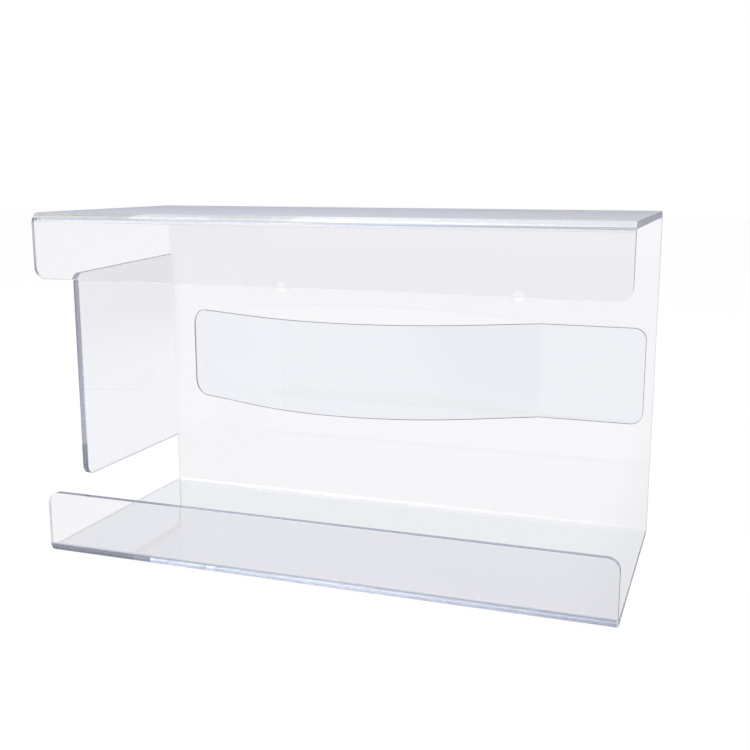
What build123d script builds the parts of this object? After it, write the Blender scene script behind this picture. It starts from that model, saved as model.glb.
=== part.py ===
from build123d import *

import os
from math import radians, tan

# Wall dispenser for a box of disposable gloves, in clear acrylic. All sizes in millimetres.
#
# One acrylic sheet is line-bent into back panel, roof, shelf, two lips and a left side wing.
# A thinner strip, bonded to the back panel at one end, bows forward and presses the box
# against the lips. The right end stays open for the box.
#
# Frame: origin at the middle of the footprint on the underside of the shelf,
# +X to the right as seen from the front, +Y towards the wall, +Z up.

# Folded body: outside sizes, measured over the sheet.
width = 250.0
depth = 116.0
height = 151.0
sheet = 3.0
bend_inside = 1.5
upper_lip = 28.0
lower_lip = 28.0
lip_corner = 5.0

# Left side wing, cut from the same sheet and folded forward from the back panel.
# It stops short of the shelf, the roof and the lips.
wing_bottom = 28.6
wing_top_gap = 25.0
wing_front_gap = 26.8
wing_taper = 3.0
wing_corner = 4.5

# Two screw holes through the back panel, centred across the width.
screw_hole = 5.5
screw_spacing = 123.0
screw_drop = 40.5

# Spring tongue: a strip with a flat foot, a crease and a bowed, free span.
strip = 1.5
tongue_height = 45.0
foot_length = 48.5
foot_inset = 4.0
foot_corner = 5.5
crease_inside = 1.5
crown_run = 35.0
peak_rise = 44.0
peak_shift = 7.0
tip_gap = 4.0
tip_room = 13.4
tip_corner = 8.0

# Places that follow from the sizes above: planes of the body.
left = -width / 2
right = width / 2
front = -depth / 2
wall = depth / 2
panel_face = wall - sheet
bend_outside = bend_inside + sheet
bend_end = 2 * bend_outside
wing_front = front + wing_front_gap
wing_top = height - wing_top_gap
screw_height = height - screw_drop

# Corners of the tongue's rear face, seen from above, and the arc that rounds its peak.
tongue_bottom = (height - tongue_height) / 2
foot_end = Vector(right - foot_inset, panel_face)
crease = foot_end - Vector(foot_length, 0)
tip = Vector(left + sheet + tip_room, panel_face - tip_gap)
peak = Vector((crease.X + tip.X) / 2 + peak_shift, panel_face - peak_rise)
peak_turn = (peak - crease).get_angle(tip - peak)
crown_radius = ((peak - crease).length - crown_run) / tan(radians(peak_turn / 2))


with BuildPart() as folded_body:
    # Constant-thickness section from the top of the lower lip round to the end of the upper lip.
    with BuildSketch(Plane.YZ.offset(left)):
        with BuildLine():
            FilletPolyline(
                (front, lower_lip),
                (front, 0),
                (wall, 0),
                (wall, height),
                (front, height),
                (front, height - upper_lip),
                radius=bend_outside,
            )
            offset(amount=sheet, side=Side.LEFT)
        make_face()
    extrude(amount=width)

    # The free corners of both lips are rounded.
    lip_ends = folded_body.edges().filter_by(Axis.Y).filter_by(lambda e: e.length < sheet * 1.01)
    fillet(lip_ends, radius=lip_corner)

    # The panel gives up its left edge to the wing's bend.
    with BuildSketch(Plane.XY.offset(wing_bottom)):
        with Locations((left, wall)):
            Rectangle(bend_outside, sheet, align=(Align.MIN, Align.MAX))
    extrude(amount=wing_top - wing_bottom, mode=Mode.SUBTRACT)
    with BuildSketch(Plane.XY.offset(wing_bottom)):
        with BuildLine():
            FilletPolyline(
                (left + bend_end, wall),
                (left, wall),
                (left, wall - bend_end),
                radius=bend_outside,
            )
            offset(amount=sheet, side=Side.LEFT)
        make_face()
    extrude(amount=wing_top - wing_bottom)

    # The flat of the wing: its top edge falls a little towards the rounded front corners.
    with BuildSketch(Plane.YZ.offset(left)) as wing_outline:
        with BuildLine():
            Polyline(
                (wall - bend_end, wing_bottom),
                (wing_front, wing_bottom),
                (wing_front, wing_top - wing_taper),
                (wall - bend_end, wing_top),
                close=True,
            )
        make_face()
        fillet(wing_outline.vertices().group_by(Axis.X)[0], radius=wing_corner)
    extrude(amount=sheet)

    with Locations(Plane.XZ.offset(-panel_face)):
        with Locations((0, screw_height)):
            with GridLocations(screw_spacing, 1, 2, 1):
                Hole(radius=screw_hole / 2, depth=sheet)


with BuildPart() as spring_tongue:
    # Rear face of the strip: foot on the panel, crease, bowed span, tip just off the panel.
    with BuildSketch(Plane.XY.offset(tongue_bottom)):
        with BuildLine():
            FilletPolyline(foot_end, crease, peak, tip, radius=[crease_inside + strip, crown_radius])
            offset(amount=strip, side=Side.LEFT)
        make_face()
    extrude(amount=tongue_height)

    # Corners of both ends: the four short edges that run through the strip's thickness.
    strip_ends = spring_tongue.edges().filter_by(lambda e: abs(e.length - strip) < strip / 100)
    fillet(strip_ends.sort_by(Axis.X)[:2], radius=tip_corner)
    fillet(strip_ends.sort_by(Axis.X)[-2:], radius=foot_corner)


os.makedirs("parts", exist_ok=True)
folded_body.part.label = "folded_body"
export_step(folded_body.part, "parts/folded_body.step")
spring_tongue.part.label = "spring_tongue"
export_step(spring_tongue.part, "parts/spring_tongue.step")
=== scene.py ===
from math import atan2, cos, hypot, radians, sin, tan

import bmesh
import bpy
from mathutils import Matrix, Vector


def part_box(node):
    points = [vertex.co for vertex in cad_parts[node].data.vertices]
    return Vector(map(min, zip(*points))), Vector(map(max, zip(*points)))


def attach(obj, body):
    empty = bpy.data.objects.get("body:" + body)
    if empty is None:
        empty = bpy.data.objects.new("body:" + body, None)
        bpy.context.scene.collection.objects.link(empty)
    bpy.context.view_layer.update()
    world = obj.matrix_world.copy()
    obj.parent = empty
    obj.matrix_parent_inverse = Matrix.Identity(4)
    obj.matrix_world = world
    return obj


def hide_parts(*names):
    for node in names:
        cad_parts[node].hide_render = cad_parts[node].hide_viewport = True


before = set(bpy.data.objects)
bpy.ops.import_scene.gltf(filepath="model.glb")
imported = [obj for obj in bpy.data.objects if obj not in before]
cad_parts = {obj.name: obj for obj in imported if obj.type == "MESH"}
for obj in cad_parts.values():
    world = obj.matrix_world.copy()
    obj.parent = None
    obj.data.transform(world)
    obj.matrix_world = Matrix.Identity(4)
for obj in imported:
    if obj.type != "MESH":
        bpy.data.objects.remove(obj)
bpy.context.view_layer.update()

# Everything is in metres. The body's planes come from the frame; the other sizes are named here.
MM = 0.001
body_low, body_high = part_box("folded_body")
LEFT, FRONT, BOTTOM = body_low
RIGHT, WALL, TOP = body_high

# Folded body.
SHEET = 3.0 * MM
BEND_OUTSIDE = 4.5 * MM
LIP_HEIGHT = 28.0 * MM
LIP_CORNER = 5.0 * MM
WING_BOTTOM = 28.6 * MM
WING_TOP = TOP - 25.0 * MM
WING_FRONT = FRONT + 26.8 * MM
WING_TAPER = 3.0 * MM
WING_CORNER = 4.5 * MM
SCREW_RADIUS = 2.75 * MM
SCREW_SPACING = 123.0 * MM
SCREW_HEIGHT = TOP - 40.5 * MM

# Spring tongue.
STRIP = 1.5 * MM
BOND_FILM = 0.08 * MM
TONGUE_HEIGHT = 45.0 * MM
FOOT_END = RIGHT - 4.0 * MM
CREASE = FOOT_END - 48.5 * MM
CREASE_RADIUS = 3.0 * MM
CROWN_RUN = 35.0 * MM
PEAK_RISE = 44.0 * MM
PEAK_SHIFT = 7.0 * MM
TIP = LEFT + SHEET + 13.4 * MM
TIP_GAP = 4.0 * MM
TIP_CORNER = 8.0 * MM
FOOT_CORNER = 5.5 * MM

# How finely round forms are divided.
BEND_STEPS = 20
CROWN_STEPS = 48
CORNER_STEPS = 10
EDGE_STEPS = 3
SCREW_SIDE_CUTS = 11
# Half the side of the square of panel that a screw hole is cut out of.
SCREW_PATCH = 6.0 * MM
# The small round that polishing leaves on cut edges.
EDGE_ROUND = 0.45 * MM
STRIP_EDGE_ROUND = 0.35 * MM
# Width of the saw cut above and below the wing's bend, and of the clear strip below that cut.
SAW_CUT = 0.08 * MM
ROOT_STRIP = 0.3 * MM
# Drop from the body to the floor.
FLOOR_GAP = 0.3 * MM
# Points nearer than this lie at the same place.
CLOSE = 1e-6

QUARTER_TURN = radians(90)
AXIS_X, AXIS_Z = Vector((1, 0, 0)), Vector((0, 0, 1))

# Material slots of a sheet. Each is followed by that of the cut edges beside it: dull, and dark with
# painted shade, beside a plain face and the wing, clear round the drilled holes and at the root of
# the wing. The wing's face and the bend slots carry painted shade as well.
PLAIN, CUT, OPEN, WING, DEEP_PAINTED_SHADE, MID_PAINTED_SHADE, SOFT_PAINTED_SHADE = 0, 1, 2, 4, 6, 8, 10
# Share of the full round that the cut edges beside each kind of face have.
ROUND_SHARES = {PLAIN: 0.4, OPEN: 0.0, WING: 0.5, DEEP_PAINTED_SHADE: 0.4, MID_PAINTED_SHADE: 0.4, SOFT_PAINTED_SHADE: 0.4}
# Painted shade on the front bends, step by step from the lip.
LOWER_FRONT_PAINTED_SHADE = [DEEP_PAINTED_SHADE] * 3 + [MID_PAINTED_SHADE] * 2 + [DEEP_PAINTED_SHADE] * 15
UPPER_FRONT_PAINTED_SHADE = [PLAIN] * 4 + [MID_PAINTED_SHADE] * 3 + [SOFT_PAINTED_SHADE] * 13

# Refractive index of the sheet, the low one given to drilled walls, and the ripple of a face.
ACRYLIC = 1.49
CLEAR_BORE = 1.0
RIPPLE = 0.0015 * MM
# Roughness of polished faces, of heated bends, of cut edges and of drilled walls.
FACE_POLISH = {"roughness": 0.0, "roughness_spread": 0.01}
BEND_POLISH = {"roughness": 0.0, "roughness_spread": 0.02}
EDGE_POLISH = {"roughness": 0.06, "roughness_spread": 0.1}
BORE_POLISH = {"roughness": 0.2, "roughness_spread": 0.1}
# What lamps lose on the way through a clear surface and through one darkened with painted shade.
CLEAR_SHADE = (0.97, 0.97, 0.98)
PAINTED_SHADE_PASS = (0.9, 0.9, 0.93)
# Painted shade on light that comes out of a heated bend.
BEND_INNER_PAINTED_SHADE = (0.9, 0.91, 0.94)

# The studio: white behind, dimmer to the far right and in front. Heights are the sine of the
# angle above the horizon, sides the sine of the angle to the right.
ROOM_TONES = (
    (0.0, (0.42, 0.43, 0.52)),
    (0.03, (0.48, 0.49, 0.58)),
    (0.05, (0.70, 0.71, 0.78)),
    (0.2, (0.76, 0.80, 0.84)),
    (0.29, (0.68, 0.75, 0.80)),
    (0.335, (0.63, 0.70, 0.75)),
    (0.40, (0.48, 0.55, 0.61)),
    (0.55, (0.90, 0.91, 0.93)),
)
SWEEP_TONES = (
    (0.0, (1.0, 1.0, 1.0)),
    (0.03, (1.0, 1.0, 1.0)),
    (0.08, (0.80, 0.83, 0.87)),
    (0.17, (0.80, 0.85, 0.89)),
    (0.29, (0.74, 0.82, 0.86)),
    (0.335, (0.68, 0.76, 0.80)),
    (0.40, (0.52, 0.60, 0.66)),
    (0.55, (1.0, 1.0, 1.0)),
)
# Shares of the full tone, each with the stretch over which it fades there.
FRONT_SHARE, FRONT_FADE = 0.12, (-0.3, 0.3)
ACROSS_SHARE, ACROSS_FADE = 0.87, (-0.45, -0.1)
SIDE_SHARE, SIDE_FADE = 0.42, (0.02, 0.3)
# The floor's share in front is painted shade in the sheets' gloss.
FLOOR_FRONT_PAINTED_SHADE_SHARE, FLOOR_FRONT_PAINTED_SHADE_FADE = 0.42, (0.0, 0.3)
# Painted shade on the floor, seen through the sheets and in their gloss, along X in metres over
# FLOOR_SPAN.
FLOOR_SPAN = 2.0
FLOOR_PAINTED_SHADE_TONES = (
    (0.05, (1.0, 1.0, 1.0)),
    (0.15, (0.42, 0.42, 0.45)),
    (0.30, (0.42, 0.42, 0.45)),
    (0.60, (0.60, 0.62, 0.67)),
)
FLOOR_REACH = 4.0
FLOOR_COLOUR = (0.85, 0.85, 0.86)
FLOOR_GLOW = 1.08
FLOOR_GLOW_SHARE = 0.86
WHITE = (1, 1, 1)

KEY_PLACE = (-0.6, -0.5, 1.2)
KEY_AIM = (0, 0, 0.05)
KEY_SIZE = 1.0
KEY_POWER = 9.0
CAMERA_PLACE = (161.17 * MM, -429.241 * MM, 166.805 * MM)
CAMERA_DOWN, CAMERA_TURN = radians(10.895), radians(19.529)
LENS_MM, SENSOR_MM = 50.0, 36.0
# Light runs a long way along a clear sheet before it comes out.
LIGHT_BOUNCES = 128
SEE_THROUGH_BOUNCES = 32


# ---------------------------------------------------------------- sheet working

def pull(bm, edges, travel):
    """Draws a straight run of sheet out of open edges and returns the new open edges."""
    made = bmesh.ops.extrude_edge_only(bm, edges=edges)["geom"]
    new_verts = [g for g in made if isinstance(g, bmesh.types.BMVert)]
    bmesh.ops.translate(bm, verts=new_verts, vec=travel)
    return edges_between(new_verts)


def edges_between(verts):
    """Edges with both ends in verts."""
    chosen = set(verts)
    return list({e for v in verts for e in v.link_edges if set(e.verts) <= chosen})


def bend(bm, edges, centre, axis, angle, steps=BEND_STEPS):
    """Draws a bend out of open edges, round an axis, and returns the new open edges."""
    verts = list({v for e in edges for v in e.verts})
    turned = bmesh.ops.spin(
        bm, geom=verts + edges, cent=centre, axis=axis, angle=angle, steps=steps,
        use_merge=False, use_duplicate=False,
    )
    return [g for g in turned["geom_last"] if isinstance(g, bmesh.types.BMEdge)]


def paint_bend_shade(bm, rise, slots, low, high):
    """Gives the faces of the bend between two corners their slots of painted shade, upwards or
    downwards.
    """
    faces = sorted(
        faces_within(bm.faces, low, high), key=lambda f: rise * f.calc_center_median().z
    )
    for f, slot in zip(faces, slots):
        f.material_index = slot


def near(value, place):
    return abs(value - place) < CLOSE


def round_corners(bm, verts, radius):
    """Rounds free corners of a sheet."""
    bmesh.ops.bevel(
        bm, geom=verts, offset=radius, offset_type="OFFSET", affect="VERTICES",
        segments=CORNER_STEPS, profile=0.5, material=-1, clamp_overlap=True,
    )


def cut(bm, faces, place, normal):
    """Cuts the faces along a plane and returns all the faces on both sides of it."""
    geom = set(faces)
    for f in faces:
        geom.update(f.edges)
        geom.update(f.verts)
    made = bmesh.ops.bisect_plane(
        bm, geom=list(geom), dist=CLOSE / 10, plane_co=place, plane_no=normal,
    )["geom"]
    return [g for g in made if isinstance(g, bmesh.types.BMFace)]


def faces_within(faces, low, high):
    """Faces whose middle lies between two corners."""
    found = []
    for f in faces:
        c = f.calc_center_median()
        if all(low[i] <= c[i] <= high[i] for i in range(3)):
            found.append(f)
    return found


def panel_faces(faces):
    """Faces that lie in the plane of the back panel."""
    return [f for f in faces if all(near(v.co.y, WALL) for v in f.verts)]


def drill(bm, faces, centre, radius):
    """Opens a round hole in the square patch of sheet round centre, facing along Y."""
    patch = min(faces, key=lambda f: (f.calc_center_median() - centre).length)
    rim = list(patch.edges)
    bmesh.ops.delete(bm, geom=[patch], context="FACES_ONLY")
    split = bmesh.ops.subdivide_edges(bm, edges=rim, cuts=SCREW_SIDE_CUTS)
    outer = {e for e in rim if e.is_valid}
    outer |= {g for g in split["geom"] if isinstance(g, bmesh.types.BMEdge)}
    circle = bmesh.ops.create_circle(
        bm, cap_ends=False, radius=radius, segments=4 * (SCREW_SIDE_CUTS + 1),
    )["verts"]
    upright = Matrix.Rotation(QUARTER_TURN, 3, "X")
    bmesh.ops.rotate(bm, verts=circle, cent=(0, 0, 0), matrix=upright)
    bmesh.ops.translate(bm, verts=circle, vec=centre)
    inner = {e for v in circle for e in v.link_edges}
    ring = bmesh.ops.bridge_loops(bm, edges=list(outer | inner))["faces"]
    for f in ring:
        f.material_index = OPEN


def face_outwards(bm, probe, outward):
    """Turns all faces the same way, so that the face nearest probe looks along outward."""
    bmesh.ops.recalc_face_normals(bm, faces=list(bm.faces))
    bm.normal_update()
    seen = min(bm.faces, key=lambda f: (f.calc_center_median() - probe).length)
    if seen.normal.dot(outward) < 0:
        bmesh.ops.reverse_faces(bm, faces=list(bm.faces))


# ---------------------------------------------------------------- pieces

def folded_skin():
    """Outer skin of the folded body, from the lower lip round to the upper lip, with the wing."""
    bm = bmesh.new()
    ends = [bm.verts.new((x, FRONT, LIP_HEIGHT)) for x in (LEFT, RIGHT)]
    row = [bm.edges.new(ends)]
    reach = BEND_OUTSIDE

    row = pull(bm, row, Vector((0, 0, reach - LIP_HEIGHT)))
    row = bend(bm, row, (0, FRONT + reach, reach), AXIS_X, QUARTER_TURN)
    row = pull(bm, row, Vector((0, WALL - FRONT - 2 * reach, 0)))
    row = bend(bm, row, (0, WALL - reach, reach), AXIS_X, QUARTER_TURN)
    row = pull(bm, row, Vector((0, 0, TOP - 2 * reach)))
    row = bend(bm, row, (0, WALL - reach, TOP - reach), AXIS_X, QUARTER_TURN)
    row = pull(bm, row, Vector((0, FRONT - WALL + 2 * reach, 0)))
    row = bend(bm, row, (0, FRONT + reach, TOP - reach), AXIS_X, QUARTER_TURN)
    pull(bm, row, Vector((0, 0, reach - LIP_HEIGHT)))
    # Painted shade on the front bends.
    paint_bend_shade(bm, -1, LOWER_FRONT_PAINTED_SHADE, (LEFT, FRONT, 0), (RIGHT, FRONT + reach, reach))
    paint_bend_shade(bm, 1, UPPER_FRONT_PAINTED_SHADE, (LEFT, FRONT, TOP - reach), (RIGHT, FRONT + reach, TOP))

    lip_ends = (LIP_HEIGHT, TOP - LIP_HEIGHT)
    corners = [
        v for v in bm.verts
        if near(v.co.y, FRONT) and any(near(v.co.z, z) for z in lip_ends)
    ]
    round_corners(bm, corners, LIP_CORNER)

    panel = panel_faces(bm.faces)
    for z in (WING_BOTTOM - ROOT_STRIP, WING_BOTTOM, WING_TOP):
        panel = cut(bm, panel, (0, WALL, z), AXIS_Z)
    panel = cut(bm, panel, (LEFT + reach, WALL, 0), AXIS_X)
    fold_wing(bm, panel)
    drill_panel(bm)

    face_outwards(bm, Vector((0, WALL, TOP / 2)), Vector((0, 1, 0)))
    return bm


def fold_wing(bm, panel):
    """The wing is the panel's own left edge, sawn free above and below and folded forward."""
    reach = BEND_OUTSIDE
    given_up = faces_within(panel, (LEFT, -1, WING_BOTTOM), (LEFT + reach, 1, WING_TOP))
    bmesh.ops.delete(bm, geom=given_up, context="FACES")
    root = [
        e for e in bm.edges
        if e.is_boundary and all(
            near(v.co.x, LEFT + reach) and near(v.co.y, WALL)
            and WING_BOTTOM - CLOSE < v.co.z < WING_TOP + CLOSE for v in e.verts
        )
    ]
    before = set(bm.faces)
    held = {v for e in root for v in e.verts}
    row = bend(bm, root, (LEFT + reach, WALL - reach, 0), AXIS_Z, QUARTER_TURN)
    bent = [f for f in bm.faces if f not in before]
    strip_low = (LEFT, -1, WING_BOTTOM - ROOT_STRIP)
    beside = panel_faces(faces_within(before, strip_low, (LEFT + reach, 1, TOP)))
    for f in beside + bent:
        f.material_index = OPEN
    for v in {v for f in bent for v in f.verts} - held:
        if near(v.co.z, WING_BOTTOM):
            v.co.z += SAW_CUT
        elif near(v.co.z, WING_TOP):
            v.co.z -= SAW_CUT

    row = pull(bm, row, Vector((0, WING_FRONT - WALL + reach, 0)))
    # The wing's face takes its slot, which carries painted shade.
    for f in {f for e in row for f in e.link_faces}:
        f.material_index = WING
    lower, upper = sorted({v for e in row for v in e.verts}, key=lambda v: v.co.z)
    upper.co.z -= WING_TAPER
    round_corners(bm, [lower, upper], WING_CORNER)


def drill_panel(bm):
    """Two screw holes, centred across the width."""
    field = faces_within(
        panel_faces(bm.faces), (LEFT + BEND_OUTSIDE, -1, WING_BOTTOM), (RIGHT, 1, WING_TOP)
    )
    places = [Vector((side * SCREW_SPACING / 2, WALL, SCREW_HEIGHT)) for side in (-1, 1)]
    low, high = SCREW_HEIGHT - SCREW_PATCH, SCREW_HEIGHT + SCREW_PATCH
    for z in (low, high):
        field = cut(bm, field, (0, WALL, z), AXIS_Z)
    band = faces_within(field, (LEFT, -1, low), (RIGHT, 1, high))
    for place in places:
        for x in (place.x - SCREW_PATCH, place.x + SCREW_PATCH):
            band = cut(bm, band, (x, WALL, 0), AXIS_X)
    for place in places:
        drill(bm, [f for f in band if f.is_valid], place, SCREW_RADIUS)


def tongue_skin():
    """Rear skin of the spring tongue: foot on the panel, crease, crown and free tip."""
    bm = bmesh.new()
    rear = WALL - SHEET - BOND_FILM
    low = (TOP - TONGUE_HEIGHT) / 2
    ends = [bm.verts.new((FOOT_END, rear, low + z)) for z in (0, TONGUE_HEIGHT)]
    row = [bm.edges.new(ends)]

    peak_x = (CREASE + TIP) / 2 + PEAK_SHIFT
    rise_run, fall_run = CREASE - peak_x, peak_x - TIP
    fall = PEAK_RISE - TIP_GAP
    rise_angle, fall_angle = atan2(PEAK_RISE, rise_run), atan2(fall, fall_run)
    rise_length, fall_length = hypot(PEAK_RISE, rise_run), hypot(fall, fall_run)
    crown_turn = rise_angle + fall_angle
    crown_tangent = rise_length - CROWN_RUN
    crown_radius = crown_tangent / tan(crown_turn / 2)
    crease_tangent = CREASE_RADIUS * tan(rise_angle / 2)

    crease_start = CREASE + crease_tangent
    row = pull(bm, row, Vector((crease_start - FOOT_END, 0, 0)))
    row = bend(bm, row, (crease_start, rear - CREASE_RADIUS, 0), AXIS_Z, rise_angle)
    ahead = Vector((-cos(rise_angle), -sin(rise_angle), 0))
    row = pull(bm, row, ahead * (CROWN_RUN - crease_tangent))
    hub = row[0].verts[0].co + Vector((-sin(rise_angle), cos(rise_angle), 0)) * crown_radius
    row = bend(bm, row, hub, AXIS_Z, -crown_turn, CROWN_STEPS)
    back = Vector((-cos(fall_angle), sin(fall_angle), 0))
    row = pull(bm, row, back * (fall_length - crown_tangent))

    tips = [v for e in row for v in e.verts]
    round_corners(bm, tips, TIP_CORNER)
    feet = [v for v in bm.verts if near(v.co.x, FOOT_END)]
    round_corners(bm, feet, FOOT_CORNER)
    face_outwards(bm, Vector((FOOT_END, rear, TOP / 2)), Vector((0, 1, 0)))
    return bm


def finish_sheet(bm, name, thickness, edge_round, edge_slot, materials):
    """Gives a skin its thickness, polished cut edges and its materials."""
    rounds = bm.edges.layers.float.new("bevel_weight_edge")
    for e in bm.edges:
        if e.is_boundary:
            e[rounds] = ROUND_SHARES[e.link_faces[0].material_index]
            e.smooth = e[rounds] > 0
    for f in bm.faces:
        f.smooth = True
    mesh = bpy.data.meshes.new(name)
    bm.to_mesh(mesh)
    bm.free()
    for material in materials:
        mesh.materials.append(material)
    piece = bpy.data.objects.new(name, mesh)
    bpy.context.scene.collection.objects.link(piece)

    wall = piece.modifiers.new("thickness", "SOLIDIFY")
    wall.thickness = thickness
    wall.offset = -1
    wall.use_even_offset = True
    # Rims take the slot after their face's: cut edges with painted shade, clear walls round the holes
    # and at the wing's root.
    wall.material_offset_rim = CUT
    rim = piece.modifiers.new("polished_edge", "BEVEL")
    rim.limit_method = "WEIGHT"
    rim.width = edge_round
    rim.use_clamp_overlap = False
    rim.segments = EDGE_STEPS
    rim.material = edge_slot
    rim.harden_normals = False
    shade = piece.modifiers.new("true_flats", "WEIGHTED_NORMAL")
    shade.mode = "FACE_AREA"
    shade.weight = 100
    shade.keep_sharp = True
    return piece


# ---------------------------------------------------------------- shader nodes

def new_material(name):
    mat = bpy.data.materials.new(name)
    mat.use_nodes = True
    mat.node_tree.nodes.clear()
    return mat, mat.node_tree


def node(tree, kind, **values):
    """A node with some inputs set by name."""
    made = tree.nodes.new(kind)
    for key, value in values.items():
        made.inputs[key.replace("_", " ")].default_value = value
    return made


def maths(tree, operation, *inputs):
    """The result of a sum whose inputs are numbers or other nodes' outputs."""
    made = tree.nodes.new("ShaderNodeMath")
    made.operation = operation
    for socket, value in zip(made.inputs, inputs):
        if isinstance(value, bpy.types.NodeSocket):
            tree.links.new(value, socket)
        else:
            socket.default_value = value
    return made.outputs[0]


def fade(tree, socket, stretch, start, end):
    """A value that goes from start to end as the one at socket crosses the stretch."""
    made = node(
        tree, "ShaderNodeMapRange", From_Min=stretch[0], From_Max=stretch[1], To_Min=start, To_Max=end
    )
    tree.links.new(socket, made.inputs["Value"])
    return made.outputs["Result"]


def ramp(tree, socket, tones):
    """A colour that goes through the given tones as the value at socket rises."""
    made = tree.nodes.new("ShaderNodeValToRGB")
    elements = made.color_ramp.elements
    elements.remove(elements[1])
    elements[0].position, elements[0].color = tones[0][0], (*tones[0][1], 1)
    for position, colour in tones[1:]:
        elements.new(position).color = (*colour, 1)
    tree.links.new(socket, made.inputs["Fac"])
    return made.outputs["Color"]


def blend(tree, share, first, second):
    """Goes from the first shader to the second as the value at share rises from 0 to 1."""
    made = tree.nodes.new("ShaderNodeMixShader")
    tree.links.new(share, made.inputs[0])
    tree.links.new(first, made.inputs[1])
    tree.links.new(second, made.inputs[2])
    return made.outputs[0]


# ---------------------------------------------------------------- materials

def polish_group():
    """Slight roughness and ripple left by casting, bending and wiping."""
    tree = bpy.data.node_groups.new("acrylic_polish", "ShaderNodeTree")
    for name, value in (
        ("Roughness", 0.01), ("Roughness Spread", 0.02), ("Cloud Scale", 40.0),
        ("Ripple Scale", 25.0), ("Scratch Scale", 400.0), ("Scratch Share", 0.1),
    ):
        socket = tree.interface.new_socket(name, in_out="INPUT", socket_type="NodeSocketFloat")
        socket.default_value = value
    for name in ("Roughness", "Height"):
        tree.interface.new_socket(name, in_out="OUTPUT", socket_type="NodeSocketFloat")
    source = tree.nodes.new("NodeGroupInput").outputs
    sink = tree.nodes.new("NodeGroupOutput")
    place = tree.nodes.new("ShaderNodeTexCoord").outputs["Object"]

    def noise(scale, detail, roughness):
        made = node(tree, "ShaderNodeTexNoise", Detail=detail, Roughness=roughness)
        tree.links.new(place, made.inputs["Vector"])
        tree.links.new(source[scale], made.inputs["Scale"])
        return made.outputs["Fac"]

    clouds = noise("Cloud Scale", 3.0, 0.6)
    spread = maths(tree, "MULTIPLY_ADD", clouds, source["Roughness Spread"], source["Roughness"])
    tree.links.new(spread, sink.inputs["Roughness"])
    ripple = noise("Ripple Scale", 1.0, 0.4)
    scratches = noise("Scratch Scale", 2.0, 0.7)
    height = maths(tree, "MULTIPLY_ADD", scratches, source["Scratch Share"], ripple)
    tree.links.new(height, sink.inputs["Height"])
    return tree


def acrylic(
    name, polish, polish_values, tint_or_painted_shade, inner_painted_shade=None, shade=CLEAR_SHADE, index=ACRYLIC, clarity=1.0
):
    """Clear acrylic: refracts what is behind it and lets lamps through. The first colour is the
    sheet's own tint on plain faces and painted shade on cut edges, the wing and the bends; the inner
    colour is painted shade for light that comes out of the sheet, where it differs."""
    mat, tree = new_material(name)
    look = tree.nodes.new("ShaderNodeGroup")
    look.node_tree = polish
    for key, value in polish_values.items():
        look.inputs[key.replace("_", " ").title()].default_value = value
    bump = node(tree, "ShaderNodeBump", Strength=1.0, Distance=RIPPLE)
    tree.links.new(look.outputs["Height"], bump.inputs["Height"])
    clear = node(tree, "ShaderNodeBsdfPrincipled", IOR=index, Transmission_Weight=clarity)
    # Cut edges and bends take painted shade that differs with the side of the face that is seen.
    if inner_painted_shade:
        side = tree.nodes.new("ShaderNodeNewGeometry")
        painted_shade_sides = tree.nodes.new("ShaderNodeMix")
        painted_shade_sides.data_type = "RGBA"
        painted_shade_sides.inputs["A"].default_value = (*tint_or_painted_shade, 1)
        painted_shade_sides.inputs["B"].default_value = (*inner_painted_shade, 1)
        tree.links.new(side.outputs["Backfacing"], painted_shade_sides.inputs["Factor"])
        tree.links.new(painted_shade_sides.outputs["Result"], clear.inputs["Base Color"])
    else:
        clear.inputs["Base Color"].default_value = (*tint_or_painted_shade, 1)
    tree.links.new(look.outputs["Roughness"], clear.inputs["Roughness"])
    tree.links.new(bump.outputs["Normal"], clear.inputs["Normal"])
    passing = node(tree, "ShaderNodeBsdfTransparent", Color=(*shade, 1))
    path = tree.nodes.new("ShaderNodeLightPath")
    out = tree.nodes.new("ShaderNodeOutputMaterial")
    look_through = blend(tree, path.outputs["Is Shadow Ray"], clear.outputs[0], passing.outputs[0])
    tree.links.new(look_through, out.inputs["Surface"])
    return mat


def sheet_face(polish):
    return acrylic("clear_sheet_face", polish, FACE_POLISH, (0.938, 0.933, 0.955))


# Cut edges of the sheet: dark painted shade seen from outside, lighter painted shade on light that
# comes out.
def sheet_cut_edge_painted_shade(polish):
    return acrylic(
        "clear_sheet_cut_edge_painted_shade", polish, EDGE_POLISH, (0.21, 0.225, 0.31), (0.85, 0.87, 0.93), PAINTED_SHADE_PASS
    )


def sheet_bore(polish):
    return acrylic("clear_sheet_bore", polish, BORE_POLISH, (1.0, 1.0, 1.0), index=CLEAR_BORE)


# The wing's face: the sheet's own tint, darkened with painted shade.
def wing_painted_shade(polish):
    return acrylic("clear_wing_painted_shade", polish, FACE_POLISH, (0.905, 0.91, 0.94))


# Front bends: painted shade, deep, mid and soft, darker seen from outside than on light that comes
# out.
def deep_bend_painted_shade(polish):
    tint_or_painted_shade = (0.20, 0.225, 0.32)
    return acrylic("clear_deep_bend_painted_shade", polish, BEND_POLISH, tint_or_painted_shade, BEND_INNER_PAINTED_SHADE, PAINTED_SHADE_PASS)


def mid_bend_painted_shade(polish):
    tint_or_painted_shade = (0.43, 0.46, 0.54)
    return acrylic("clear_mid_bend_painted_shade", polish, BEND_POLISH, tint_or_painted_shade, BEND_INNER_PAINTED_SHADE, PAINTED_SHADE_PASS)


def soft_bend_painted_shade(polish):
    tint_or_painted_shade = (0.72, 0.73, 0.77)
    return acrylic("clear_soft_bend_painted_shade", polish, BEND_POLISH, tint_or_painted_shade, BEND_INNER_PAINTED_SHADE)


def strip_face(polish):
    return acrylic("clear_strip_face", polish, FACE_POLISH, (0.939, 0.959, 0.984))


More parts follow.
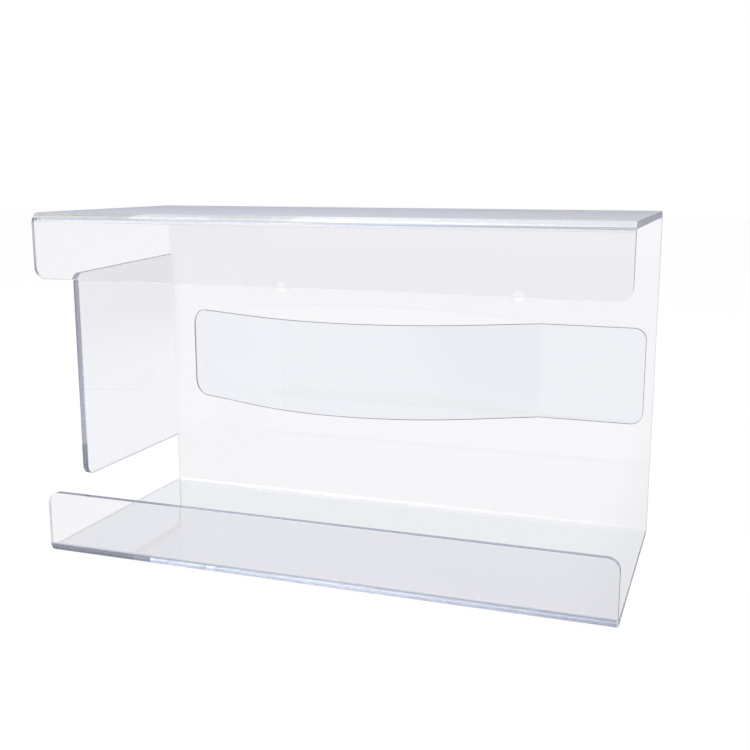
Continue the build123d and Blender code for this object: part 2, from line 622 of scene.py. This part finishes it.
# Cut edges of the strip: dark painted shade seen from outside, lighter painted shade on light that
# comes out, and less clear.
def strip_cut_edge_painted_shade(polish):
    return acrylic(
        "clear_strip_cut_edge_painted_shade", polish, EDGE_POLISH, (0.07, 0.075, 0.12), (0.3, 0.32, 0.42), PAINTED_SHADE_PASS,
        clarity=0.55,
    )


def body_materials(polish):
    """The folded body's slots: each kind of face and the cut edges beside it."""
    face, edge = sheet_face(polish), sheet_cut_edge_painted_shade(polish)
    return (
        face, edge, face, sheet_bore(polish), wing_painted_shade(polish), edge,
        deep_bend_painted_shade(polish), edge, mid_bend_painted_shade(polish), edge, soft_bend_painted_shade(polish), edge,
    )


def floor_material():
    """White to look at. Through the sheets, and in their gloss, painted shade dims it towards the far
    right, and in the gloss painted shade dims it in front as well."""
    mat, tree = new_material("pale_floor")
    diffuse = node(tree, "ShaderNodeBsdfDiffuse", Color=(*FLOOR_COLOUR, 1))
    seen = node(tree, "ShaderNodeEmission", Color=(*WHITE, 1), Strength=FLOOR_GLOW)
    place = tree.nodes.new("ShaderNodeTexCoord")
    parts = tree.nodes.new("ShaderNodeSeparateXYZ")
    tree.links.new(place.outputs["Object"], parts.inputs[0])
    # Painted shade along X, for what the sheets see through and in their gloss.
    tones = ramp(tree, maths(tree, "DIVIDE", parts.outputs["X"], FLOOR_SPAN), FLOOR_PAINTED_SHADE_TONES)
    through = tree.nodes.new("ShaderNodeEmission")
    tree.links.new(tones, through.inputs["Color"])
    gloss = tree.nodes.new("ShaderNodeEmission")
    tree.links.new(tones, gloss.inputs["Color"])
    # Painted shade in front, in the gloss only.
    behind = fade(tree, parts.outputs["Y"], FLOOR_FRONT_PAINTED_SHADE_FADE, FLOOR_FRONT_PAINTED_SHADE_SHARE, 1.0)
    tree.links.new(behind, gloss.inputs["Strength"])

    path = tree.nodes.new("ShaderNodeLightPath").outputs
    mirrored = blend(tree, path["Is Glossy Ray"], diffuse.outputs[0], gloss.outputs[0])
    unseen = blend(tree, path["Is Transmission Ray"], mirrored, through.outputs[0])
    share = maths(tree, "MULTIPLY", path["Is Camera Ray"], FLOOR_GLOW_SHARE)
    out = tree.nodes.new("ShaderNodeOutputMaterial")
    tree.links.new(blend(tree, share, unseen, seen.outputs[0]), out.inputs["Surface"])
    return mat


# ---------------------------------------------------------------- surroundings

def white_world():
    """White to look at. Sheets are seen against a white sweep under a dim ceiling."""
    world = bpy.data.worlds.new("studio")
    bpy.context.scene.world = world
    world.use_nodes = True
    tree = world.node_tree
    tree.nodes.clear()
    place = tree.nodes.new("ShaderNodeTexCoord")
    parts = tree.nodes.new("ShaderNodeSeparateXYZ")
    tree.links.new(place.outputs["Generated"], parts.inputs[0])
    side, depth, height = parts.outputs

    behind = fade(tree, depth, FRONT_FADE, FRONT_SHARE, 1.0)
    across = fade(tree, side, ACROSS_FADE, 1.0, ACROSS_SHARE)
    beside = fade(tree, side, SIDE_FADE, 1.0, SIDE_SHARE)
    room = tree.nodes.new("ShaderNodeBackground")
    tree.links.new(ramp(tree, height, ROOM_TONES), room.inputs["Color"])
    tree.links.new(maths(tree, "MULTIPLY", behind, across), room.inputs["Strength"])
    sweep = tree.nodes.new("ShaderNodeBackground")
    tree.links.new(ramp(tree, height, SWEEP_TONES), sweep.inputs["Color"])
    tree.links.new(beside, sweep.inputs["Strength"])
    white = node(tree, "ShaderNodeBackground", Color=(*WHITE, 1))

    path = tree.nodes.new("ShaderNodeLightPath").outputs
    through = blend(tree, path["Is Transmission Ray"], room.outputs[0], sweep.outputs[0])
    direct = blend(tree, path["Is Camera Ray"], through, white.outputs[0])
    out = tree.nodes.new("ShaderNodeOutputWorld")
    tree.links.new(direct, out.inputs["Surface"])


def floor():
    bm = bmesh.new()
    bmesh.ops.create_grid(bm, x_segments=1, y_segments=1, size=FLOOR_REACH)
    bmesh.ops.translate(bm, verts=list(bm.verts), vec=(0, 0, BOTTOM - FLOOR_GAP))
    mesh = bpy.data.meshes.new("floor")
    bm.to_mesh(mesh)
    bm.free()
    mesh.materials.append(floor_material())
    piece = bpy.data.objects.new("floor", mesh)
    bpy.context.scene.collection.objects.link(piece)


def key_lamp():
    """A soft square lamp, above the left front."""
    data = bpy.data.lights.new("key", "AREA")
    data.shape = "SQUARE"
    data.size = KEY_SIZE
    data.energy = KEY_POWER
    made = bpy.data.objects.new("key", data)
    bpy.context.scene.collection.objects.link(made)
    made.location = KEY_PLACE
    made.rotation_euler = (Vector(KEY_AIM) - Vector(KEY_PLACE)).to_track_quat("-Z", "Y").to_euler()


def camera():
    data = bpy.data.cameras.new("camera")
    data.lens = LENS_MM
    data.sensor_width = SENSOR_MM
    made = bpy.data.objects.new("camera", data)
    bpy.context.scene.collection.objects.link(made)
    made.location = CAMERA_PLACE
    made.rotation_euler = (QUARTER_TURN - CAMERA_DOWN, 0, CAMERA_TURN)
    bpy.context.scene.camera = made


def main():
    scene = bpy.context.scene
    scene.view_settings.view_transform = "Standard"
    scene.cycles.max_bounces = LIGHT_BOUNCES
    scene.cycles.transmission_bounces = LIGHT_BOUNCES
    scene.cycles.glossy_bounces = LIGHT_BOUNCES
    scene.cycles.transparent_max_bounces = SEE_THROUGH_BOUNCES

    camera()
    white_world()
    floor()
    key_lamp()

    polish = polish_group()
    body = finish_sheet(
        folded_skin(), "clear_body", SHEET, EDGE_ROUND, PLAIN, body_materials(polish)
    )
    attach(body, "root")
    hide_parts("folded_body")
    tongue = finish_sheet(
        tongue_skin(), "clear_tongue", STRIP, STRIP_EDGE_ROUND, CUT,
        (strip_face(polish), strip_cut_edge_painted_shade(polish)),
    )
    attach(tongue, "root")
    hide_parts("spring_tongue")


main()
